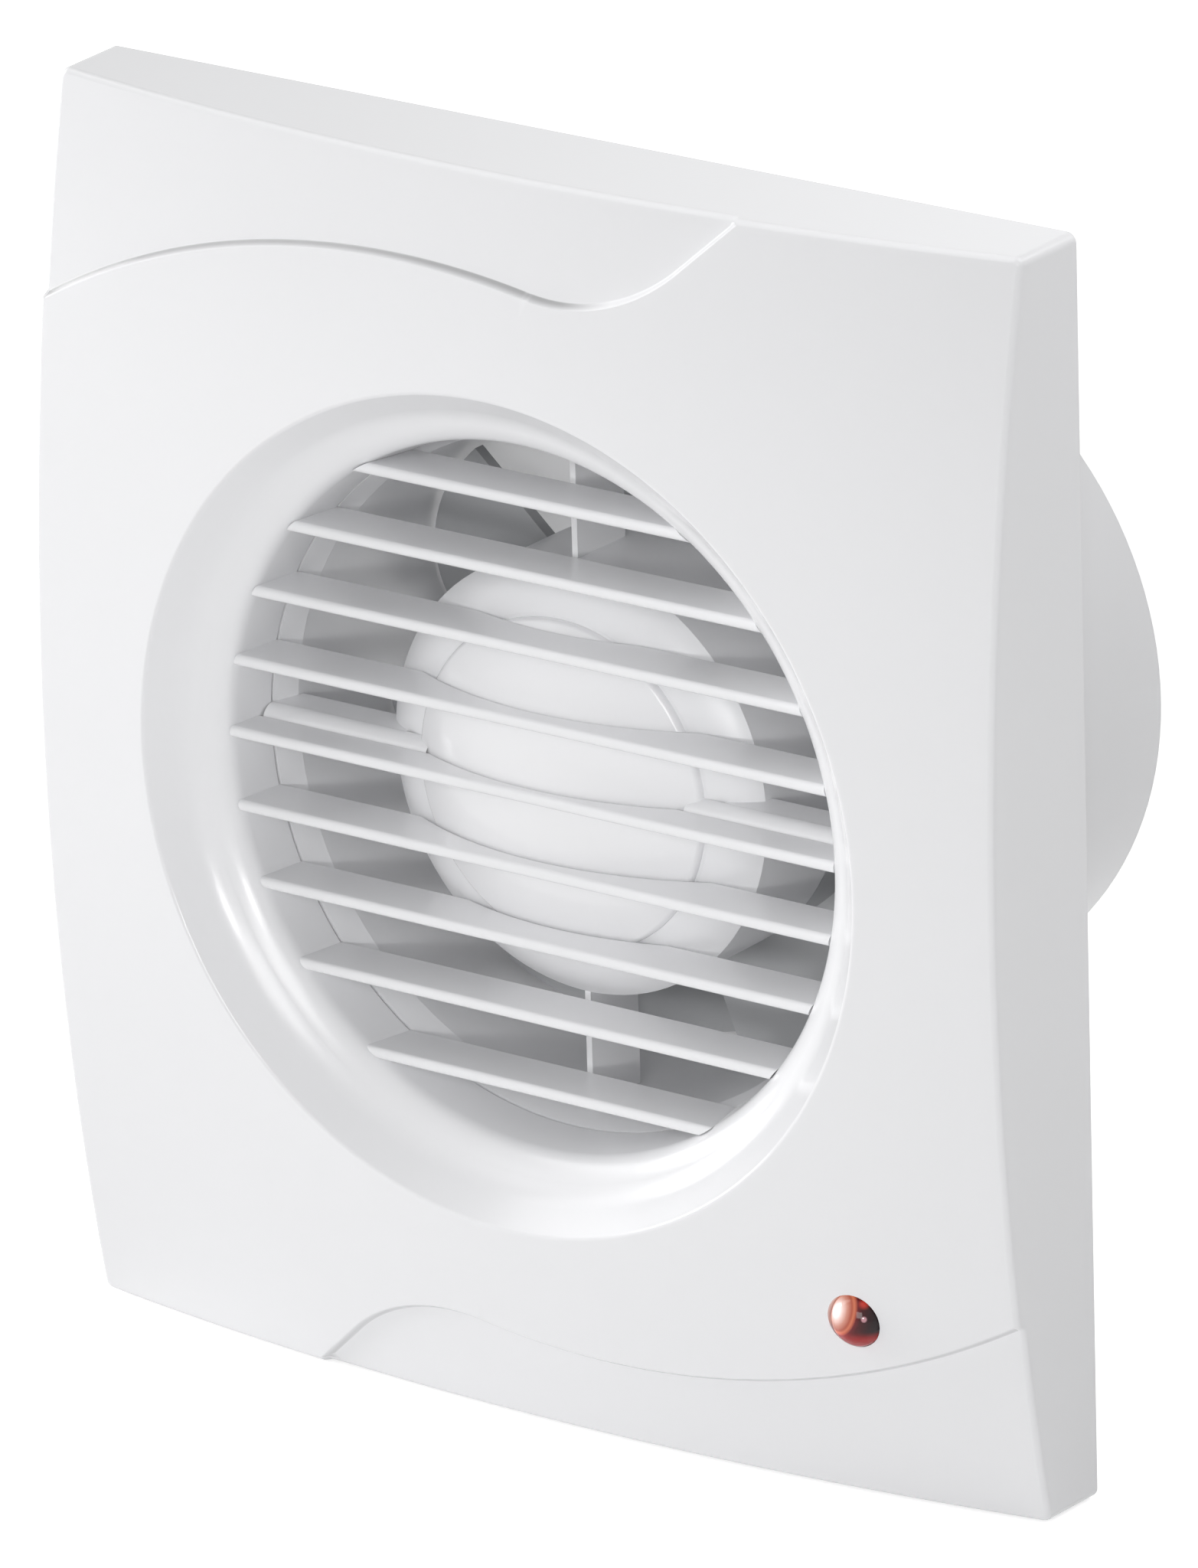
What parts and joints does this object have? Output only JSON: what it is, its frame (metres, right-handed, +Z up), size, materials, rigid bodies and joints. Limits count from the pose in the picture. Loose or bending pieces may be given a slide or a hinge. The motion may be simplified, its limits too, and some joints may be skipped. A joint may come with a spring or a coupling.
{
  "type": "extractor fan",
  "caption": "Wall extractor fan with a domed cover, round recess with louvre slats, central motor cap, indicator lens and a straight rear duct spigot",
  "frame": {"origin": "where the duct axis meets the wall plane, in the middle of the wall screw holes", "axes": "+Y along the duct away from the room, -Y towards the room, +Z up, +X to the right seen from the room"},
  "size_m": [0.1564, 0.085, 0.1748],
  "materials": {
    "cover_white": "satin moulded white",
    "inner_white": "plain moulded white",
    "impeller_plastic": "plain moulded light grey",
    "lens_red": "polished red tinted lens",
    "screw_steel": "zinc plated",
    "shaft_steel": "ground",
    "stack_steel": "stamped sheet stack",
    "bobbin_plastic": "moulded black",
    "coil_copper": "enamelled copper winding",
    "bracket_aluminium": "stamped",
    "bearing_bronze": "sintered bronze",
    "washer_plastic": "natural nylon",
    "terminal_plastic": "moulded ivory",
    "grommet_rubber": "moulded black",
    "board_green": "laminate",
    "lamp_body": "red tinted resin",
    "resistor_body": "lacquered",
    "capacitor_body": "dipped film box",
    "lead_brown": "insulated lead",
    "lead_blue": "insulated lead"
  },
  "bodies": {
    "housing": {"front_cover": "cover_white", "indicator_lens": "lens_red", "cover_screw": "screw_steel", "base_frame": "inner_white", "duct_spigot": "inner_white", "motor_carrier": "inner_white", "carrier_screws": "screw_steel", "motor_cap": "cover_white", "stator_stack": "stack_steel", "coil_bobbins": "bobbin_plastic", "stator_coils": "coil_copper", "front_bracket": "bracket_aluminium", "rear_bracket": "bracket_aluminium", "front_bearing": "bearing_bronze", "rear_bearing": "bearing_bronze", "motor_screws": "screw_steel", "terminal_block": "terminal_plastic", "terminal_screws": "screw_steel", "cable_grommet": "grommet_rubber", "cord_clamp": "inner_white", "cord_clamp_screws": "screw_steel", "lamp_board": "board_green", "lamp_board_screws": "screw_steel", "indicator_lamp": "lamp_body", "lamp_resistor": "resistor_body", "lamp_capacitor": "capacitor_body", "motor_leads": "lead_brown", "lamp_leads": "lead_blue", "louvre_slat_1": "cover_white", "louvre_slat_2": "cover_white", "louvre_slat_3": "cover_white", "louvre_slat_4": "cover_white", "louvre_slat_5": "cover_white", "louvre_slat_6": "cover_white", "louvre_slat_7": "cover_white", "louvre_slat_8": "cover_white", "louvre_slat_9": "cover_white"},
    "rotor": {"rotor_shaft": "shaft_steel", "rotor_core": "stack_steel", "thrust_washers": "washer_plastic", "impeller": "impeller_plastic", "impeller_nut": "screw_steel"}
  },
  "joints": [
    {"name": "impeller_spin", "type": "hinge", "parent": "housing", "child": "rotor", "pos_m": [0, 0.02, 0], "axis": [0, 1, 0], "continuous": true}
  ]
}
